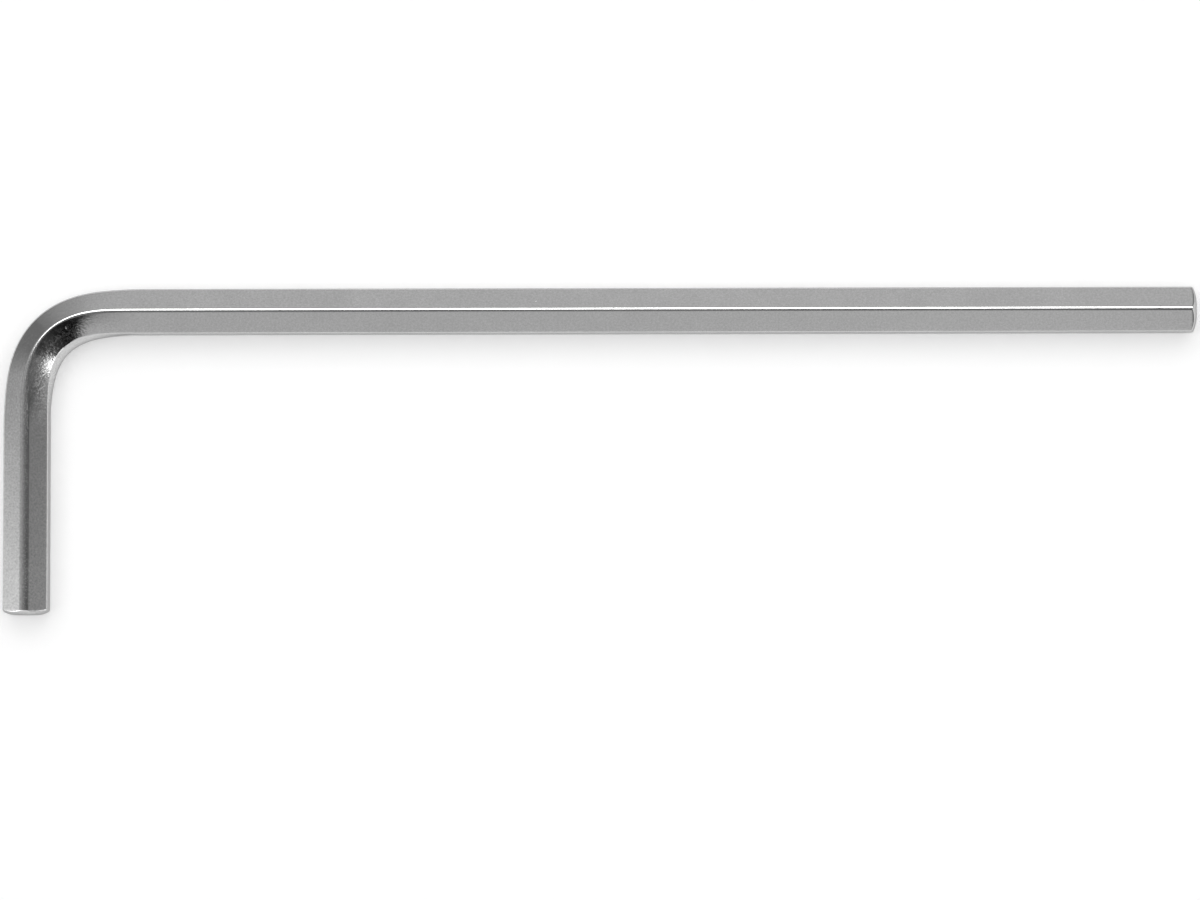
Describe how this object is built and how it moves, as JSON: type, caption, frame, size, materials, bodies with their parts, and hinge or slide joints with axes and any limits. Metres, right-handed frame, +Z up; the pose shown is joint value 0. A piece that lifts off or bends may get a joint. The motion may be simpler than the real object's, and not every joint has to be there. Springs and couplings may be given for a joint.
{
  "type": "hex key",
  "caption": "L-shaped hex key with a long and a short arm, bent from hexagonal steel bar, with crowned tips that drive internal-hexagon screws.",
  "frame": {"origin": "bottom centre of the bounding box: level with the lowest edges of the bar, on which the key lies", "axes": "+X along the long arm towards its tip, -Y along the short arm towards its tip, +Z up, square to the plane of the two arms"},
  "size_m": [0.106, 0.029, 0.0045],
  "materials": {
    "satin_steel": "satin plated steel with a fine grain, a little rougher round the bend"
  },
  "bodies": {
    "root": {"hex_key": "satin_steel"}
  },
  "joints": []
}
